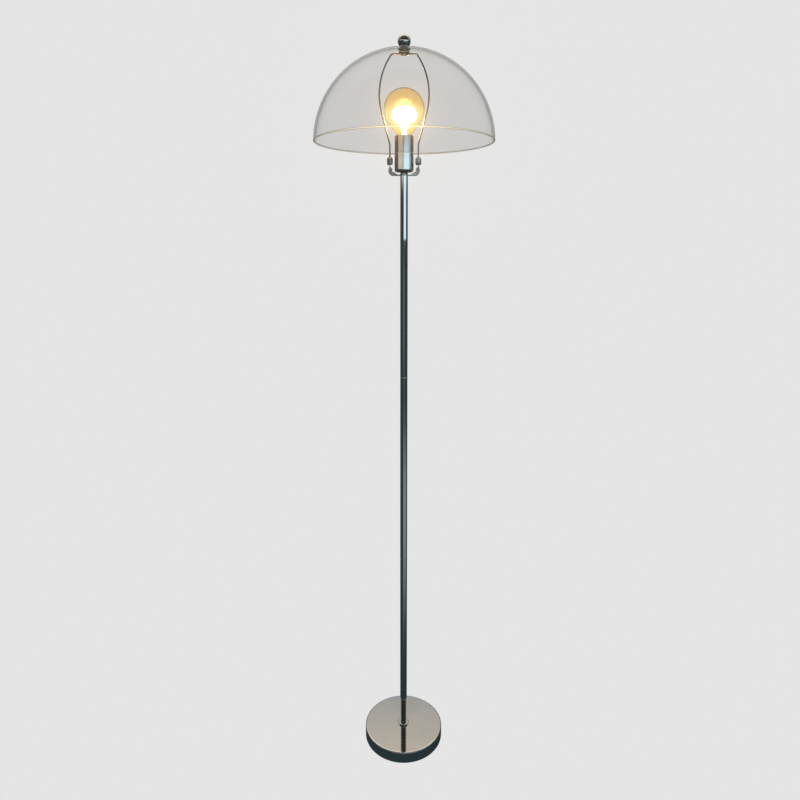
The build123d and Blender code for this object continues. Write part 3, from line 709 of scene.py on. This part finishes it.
class StudioSettings(bpy.types.PropertyGroup):
    """The camera, floor and light round the lamp."""

    camera_distance: FloatProperty(
        name="Camera Distance",
        description="From the pole to the camera, level",
        subtype="DISTANCE",
        unit="LENGTH",
        default=1.27,
    )
    camera_height: FloatProperty(
        name="Camera Height",
        description="Above the floor",
        subtype="DISTANCE",
        unit="LENGTH",
        default=1.129,
    )
    camera_tilt: FloatProperty(
        name="Camera Tilt",
        description="How far the camera looks down",
        subtype="ANGLE",
        unit="ROTATION",
        default=math.radians(9.8),
    )
    camera_turn: FloatProperty(
        name="Camera Turn",
        description="How far the camera looks to the left of the pole",
        subtype="ANGLE",
        unit="ROTATION",
        default=math.radians(0.365),
    )
    focal_length: FloatProperty(
        name="Focal Length",
        description="For a sensor 36 mm wide",
        subtype="DISTANCE_CAMERA",
        default=27.99,
    )
    lens_shift: FloatProperty(
        name="Lens Shift", description="Share of the frame's width, up or down", default=-0.0671
    )
    paper: FloatVectorProperty(
        name="Paper",
        description="Colour of the pale floor and of what is behind the lamp",
        subtype="COLOR",
        size=3,
        min=0.0,
        max=1.0,
        default=(0.7835, 0.7835, 0.7835),
    )
    window_turn: FloatProperty(
        name="Window Turn",
        description="Where the window stands, round from the camera's side",
        subtype="ANGLE",
        unit="ROTATION",
        default=math.radians(27.0),
    )
    window_distance: FloatProperty(
        name="Window Distance",
        description="From the pole",
        subtype="DISTANCE",
        unit="LENGTH",
        default=2.6,
    )
    window_width: FloatProperty(
        name="Window Width", subtype="DISTANCE", unit="LENGTH", description="Level", default=3.64
    )
    window_height: FloatProperty(
        name="Window Height", subtype="DISTANCE", unit="LENGTH", description="Upright", default=0.63
    )
    window_sill: FloatProperty(
        name="Window Sill",
        description="Height of the window's lower edge",
        subtype="DISTANCE",
        unit="LENGTH",
        default=1.125,
    )
    window_strength: FloatProperty(
        name="Window Strength", description="Brightness of the window", min=0.0, default=1.0
    )
    floor_radius: FloatProperty(
        name="Floor Radius",
        description="Radius of the round floor",
        subtype="DISTANCE",
        unit="LENGTH",
        default=6.0,
    )


# ---------------------------------------------------------------- stage


def room_light(graph, direction):
    """What the plated metal mirrors: a dark room, a wall behind the lamp that is dark low down and
    grey above, a cream ceiling over it, and the faint shine of the floor to one side."""
    x, y, z = graph.split(direction)
    height = graph.maths("ARCSINE", z)
    height = graph.maths("MULTIPLY", height, 180 / math.pi)
    turn = graph.maths("ARCTAN2", x, graph.maths("MULTIPLY", y, -1.0))
    turn = graph.maths("MULTIPLY", turn, 180 / math.pi)

    def between(value, low, high, soft):
        """1 between two ends and 0 beyond them, with soft ends."""
        rise = graph.span(value, low - soft, low + soft)
        fall = graph.span(value, high + soft, high - soft)
        return graph.maths("MULTIPLY", rise, fall)

    level = graph.span(height, -90.0, 90.0, smooth=False)
    dim = graph.ramp(
        level,
        (0.0, (0.020, 0.036, 0.040)),
        (0.25, (0.026, 0.044, 0.049)),
        (0.38, (0.030, 0.046, 0.050)),
        (0.49, (0.040, 0.052, 0.056)),
        (0.53, (0.055, 0.055, 0.052)),
        (0.75, (0.030, 0.030, 0.030)),
        (1.0, (0.200, 0.190, 0.170)),
    )
    wall = graph.ramp(
        level,
        (0.50, (0.06, 0.06, 0.06)),
        (0.58, (0.16, 0.16, 0.155)),
        (0.68, (0.40, 0.40, 0.39)),
        (0.715, (0.43, 0.43, 0.42)),
        (0.745, (0.70, 0.61, 0.49)),
        (0.80, (1.20, 1.08, 0.88)),
        (1.0, (1.20, 1.10, 0.92)),
    )
    behind = graph.maths("MULTIPLY", graph.span(y, -0.10, 0.15), graph.span(height, -1.0, 4.0))
    light = graph.mix(behind, dim, wall)
    for colour, turns, heights, soft in ROOM_PATCHES:
        across = between(turn, *turns, soft)
        share = graph.maths("MULTIPLY", across, between(height, *heights, soft))
        light = graph.mix(share, light, colour)
    return light


def make_world(studio):
    """Paper behind the lamp for the camera, and the room for all that mirrors or lights it."""
    world = bpy.data.worlds.new("studio")
    bpy.context.scene.world = world
    world.use_nodes = True
    tree = world.node_tree
    tree.nodes.clear()
    graph = Graph(tree)
    direction = graph.add("ShaderNodeTexCoord").outputs["Generated"]
    path = graph.add("ShaderNodeLightPath").outputs
    seen = graph.maths("ADD", path["Is Camera Ray"], path["Is Transmission Ray"], clamp=True)
    light = graph.mix(seen, room_light(graph, direction), tuple(studio.paper))
    sky = graph.add("ShaderNodeBackground", {"Color": light})
    graph.add("ShaderNodeOutputWorld", {"Surface": sky.outputs[0]})


def make_floor(studio):
    """The pale floor that the lamp stands on: a round sheet, as bright as the paper behind."""
    mesh = bmesh.new()
    bmesh.ops.create_circle(mesh, cap_ends=True, segments=FLOOR_STEPS, radius=studio.floor_radius)
    data = bpy.data.meshes.new("floor")
    mesh.to_mesh(data)
    mesh.free()
    floor = bpy.data.objects.new("floor", data)
    floor.location.z = -FLOOR_DROP
    bpy.context.scene.collection.objects.link(floor)
    material = bpy.data.materials.new("paper")
    material.use_nodes = True
    material.node_tree.nodes.clear()
    graph = Graph(material.node_tree)
    glow = graph.add("ShaderNodeEmission", {"Color": tuple(studio.paper)})
    graph.add("ShaderNodeOutputMaterial", {"Surface": glow.outputs[0]})
    data.materials.append(material)
    floor.visible_glossy = False
    floor.visible_diffuse = False


def make_camera(studio):
    """The photograph's view: just above half the lamp's height, looking a little down."""
    data = bpy.data.cameras.new("camera")
    data.sensor_width = SENSOR_WIDTH
    data.lens = studio.focal_length
    data.shift_y = studio.lens_shift
    camera = bpy.data.objects.new("camera", data)
    camera.location = (0.0, -studio.camera_distance, studio.camera_height)
    camera.rotation_euler = (math.radians(90.0) - studio.camera_tilt, 0.0, studio.camera_turn)
    bpy.context.scene.collection.objects.link(camera)
    bpy.context.scene.camera = camera


def make_softbox():
    """One broad soft light over the lamp, for what isn't plated."""
    data = bpy.data.lights.new("softbox", "AREA")
    data.shape = "DISK"
    data.size = SOFTBOX_WIDTH
    data.energy = SOFTBOX_WATTS
    light = bpy.data.objects.new("softbox", data)
    light.location = SOFTBOX_PLACE
    aim = SOFTBOX_AIM - SOFTBOX_PLACE
    light.rotation_euler = aim.to_track_quat("-Z", "Y").to_euler()
    light.visible_glossy = False
    light.visible_transmission = False
    light.visible_camera = False
    bpy.context.scene.collection.objects.link(light)


def make_window(studio):
    """The pale blue window before the lamp, to the right: only plated metal mirrors it."""
    data = bpy.data.lights.new("window", "AREA")
    data.shape = "RECTANGLE"
    data.size = studio.window_width
    data.size_y = studio.window_height
    data.color = WINDOW_COLOUR
    data.energy = WINDOW_WATTS_PER_AREA * studio.window_strength * data.size * data.size_y
    light = bpy.data.objects.new("window", data)
    turn = studio.window_turn
    light.location = (
        studio.window_distance * math.sin(turn),
        -studio.window_distance * math.cos(turn),
        studio.window_sill + data.size_y / 2,
    )
    light.rotation_euler = (math.radians(90.0), 0.0, turn)
    light.visible_diffuse = False
    light.visible_transmission = False
    light.visible_camera = False
    bpy.context.scene.collection.objects.link(light)


def make_bulb_light(lamp):
    """The bulb's light on the harp, the socket and the dome's rim: two balls of light round the
    middle and one to either side, so that the glow is wider than it is tall."""
    low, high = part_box("bulb_filaments")
    heart = (low + high) / 2
    for index, (side, radius, share) in enumerate(BULB_LIGHTS):
        data = bpy.data.lights.new(f"bulb_light_{index}", "POINT")
        data.color = BULB_LIGHT_COLOUR
        data.energy = lamp.bulb_power * share
        data.shadow_soft_size = radius * MM
        light = bpy.data.objects.new(data.name, data)
        light.location = heart + Vector((side * MM, 0.0, BULB_LIGHT_RISE))
        light.visible_camera = False
        bpy.context.scene.collection.objects.link(light)
        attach(light, "bulb")


def make_bloom():
    """The soft spread of light round the overexposed bulb."""
    scene = bpy.context.scene
    scene.use_nodes = True
    tree = scene.node_tree
    tree.nodes.clear()
    graph = Graph(tree)
    picture = graph.add("CompositorNodeRLayers").outputs["Image"]
    bloom = graph.add(
        "CompositorNodeGlare",
        {
            "Image": picture,
            "Threshold": 1.2,
            "Smoothness": 0.2,
            "Strength": 0.5,
            "Saturation": 0.9,
            "Tint": (1.0, 0.78, 0.45),
            "Size": 0.25,
        },
        glare_type="BLOOM",
    )
    graph.add("CompositorNodeComposite", {"Image": bloom.outputs["Image"]})


class STUDIO_OT_stage(bpy.types.Operator):
    """Set up the pale floor, the room's light and the camera"""

    bl_idname = "floor_lamp.stage"
    bl_label = "Studio"

    def execute(self, context):
        studio = context.scene.floor_lamp_studio
        context.scene.view_settings.view_transform = "Standard"
        make_world(studio)
        make_floor(studio)
        make_camera(studio)
        make_softbox()
        make_window(studio)
        make_bulb_light(context.scene.floor_lamp)
        make_bloom()
        return {"FINISHED"}


# ---------------------------------------------------------------- the lamp's pieces


class LAMP_OT_base(bpy.types.Operator):
    """Finish the chrome base, its collar, its weight and what clamps them"""

    bl_idname = "floor_lamp.base"
    bl_label = "Base"

    def execute(self, context):
        lamp = context.scene.floor_lamp
        cover = plated(
            "chrome_cover", lamp.chrome, lamp.chrome_roughness, (40.0, 700.0, 700.0), dusty=True
        )
        dress("base_shell", material=cover)
        dress("base_collar", "base_weight", "base_pad", "cord_bush")
        dress("base_nipple", "base_flat_washer", "base_lock_washer", "base_nut")
        return {"FINISHED"}


class LAMP_OT_pole(bpy.types.Operator):
    """Finish the three pole tubes, their plugs and the tubes that join them"""

    bl_idname = "floor_lamp.pole"
    bl_label = "Pole"

    def execute(self, context):
        lamp = context.scene.floor_lamp
        tube = plated("chrome_tube", lamp.chrome, lamp.chrome_roughness, ripple=0.00010)
        dress("pole_lower", "pole_middle", "pole_upper", material=tube)
        dress("pole_inserts", "joint_nipple_lower", "joint_nipple_upper", "top_nipple")
        return {"FINISHED"}


class LAMP_OT_wiring(bpy.types.Operator):
    """Finish the lead inside the lamp and its two cores"""

    bl_idname = "floor_lamp.wiring"
    bl_label = "Wiring"

    def execute(self, context):
        dress("inner_lead", "lead_cores")
        return {"FINISHED"}


class LAMP_OT_socket(bpy.types.Operator):
    """Finish the lamp socket and roll the thread of its screw shell"""

    bl_idname = "floor_lamp.socket"
    bl_label = "Socket"

    def execute(self, context):
        dress("socket_set_screw", "socket_cap", "socket_shell")
        # The bushing's dark brown colour is painted shade, standing for the shadow under the
        # socket's cap.
        dress("socket_cap_bushing", material=plated("dark_bushing", (0.17, 0.14, 0.11), 0.3))
        dress("socket_liner", "socket_body", "socket_centre_contact")
        dress("terminal_plates", "terminal_screws")
        shell = pressed_shell(context.scene.floor_lamp)
        brass = finish_for("brass")
        new_piece("socket_thread_shell", shell, "stand", brass, ["socket_screw_shell"])
        return {"FINISHED"}


class LAMP_OT_bulb(bpy.types.Operator):
    """Light the bulb: its amber globe, glowing sticks, glass mount and threaded cap"""

    bl_idname = "floor_lamp.bulb"
    bl_label = "Bulb"

    def execute(self, context):
        dress("bulb_globe", "bulb_insulator", "bulb_tip_contact")
        dress("bulb_stem", "bulb_filaments", "filament_supports")
        cap = rolled_cap(context.scene.floor_lamp)
        slot = slot_of("bulb_screw_cap")
        new_piece("bulb_thread_cap", cap, "bulb", finish_for(slot), ["bulb_screw_cap"])
        return {"FINISHED"}


class LAMP_OT_harp(bpy.types.Operator):
    """Finish the saddle, the bent wire harp, its ferrules and its clip"""

    bl_idname = "floor_lamp.harp"
    bl_label = "Harp"

    def execute(self, context):
        dress("saddle_nut", "harp_wire", "harp_stud", "shade_seat")
        # The saddle's pale pink colour is a painted warm sheen of the bulb's light on its plated
        # steel.
        dress("saddle", material=plated("bright_saddle", (0.95, 0.84, 0.77), 0.36))
        dress("ferrule_left", "ferrule_right")
        return {"FINISHED"}


class LAMP_OT_dome(bpy.types.Operator):
    """Finish the clear dome and its soft washers"""

    bl_idname = "floor_lamp.dome"
    bl_label = "Dome"

    def execute(self, context):
        dress("shade", "shade_washer_low", "shade_washer_top")
        lamp = context.scene.floor_lamp
        bead = rim_bead(lamp)
        new_piece("shade_edge", bead, "shade", polished_edge(lamp))
        return {"FINISHED"}


class LAMP_OT_finial(bpy.types.Operator):
    """Finish the ball on top"""

    bl_idname = "floor_lamp.finial"
    bl_label = "Ball Finial"

    def execute(self, context):
        dress("finial")
        return {"FINISHED"}


class LAMP_PT_panel(bpy.types.Panel):
    """Lists the steps that dress the floor lamp, and its settings"""

    bl_idname = "LAMP_PT_panel"
    bl_label = "Floor Lamp"
    bl_space_type = "VIEW_3D"
    bl_region_type = "UI"
    bl_category = "Floor Lamp"

    def draw(self, context):
        layout = self.layout
        for step in STEPS:
            layout.operator(step.bl_idname)
        for group in (context.scene.floor_lamp, context.scene.floor_lamp_studio):
            column = layout.column()
            for key in group.bl_rna.properties.keys():
                if key not in ("rna_type", "name"):
                    column.prop(group, key)


STEPS = (
    STUDIO_OT_stage,
    LAMP_OT_base,
    LAMP_OT_pole,
    LAMP_OT_wiring,
    LAMP_OT_socket,
    LAMP_OT_bulb,
    LAMP_OT_harp,
    LAMP_OT_dome,
    LAMP_OT_finial,
)
CLASSES = (LampSettings, StudioSettings, *STEPS, LAMP_PT_panel)


def register():
    for kind in CLASSES:
        bpy.utils.register_class(kind)
    bpy.types.Scene.floor_lamp = PointerProperty(type=LampSettings)
    bpy.types.Scene.floor_lamp_studio = PointerProperty(type=StudioSettings)


def unregister():
    del bpy.types.Scene.floor_lamp_studio
    del bpy.types.Scene.floor_lamp
    for kind in reversed(CLASSES):
        bpy.utils.unregister_class(kind)


def main():
    register()
    for step in STEPS:
        family, name = step.bl_idname.split(".")
        getattr(getattr(bpy.ops, family), name)()


if __name__ == "__main__":
    main()
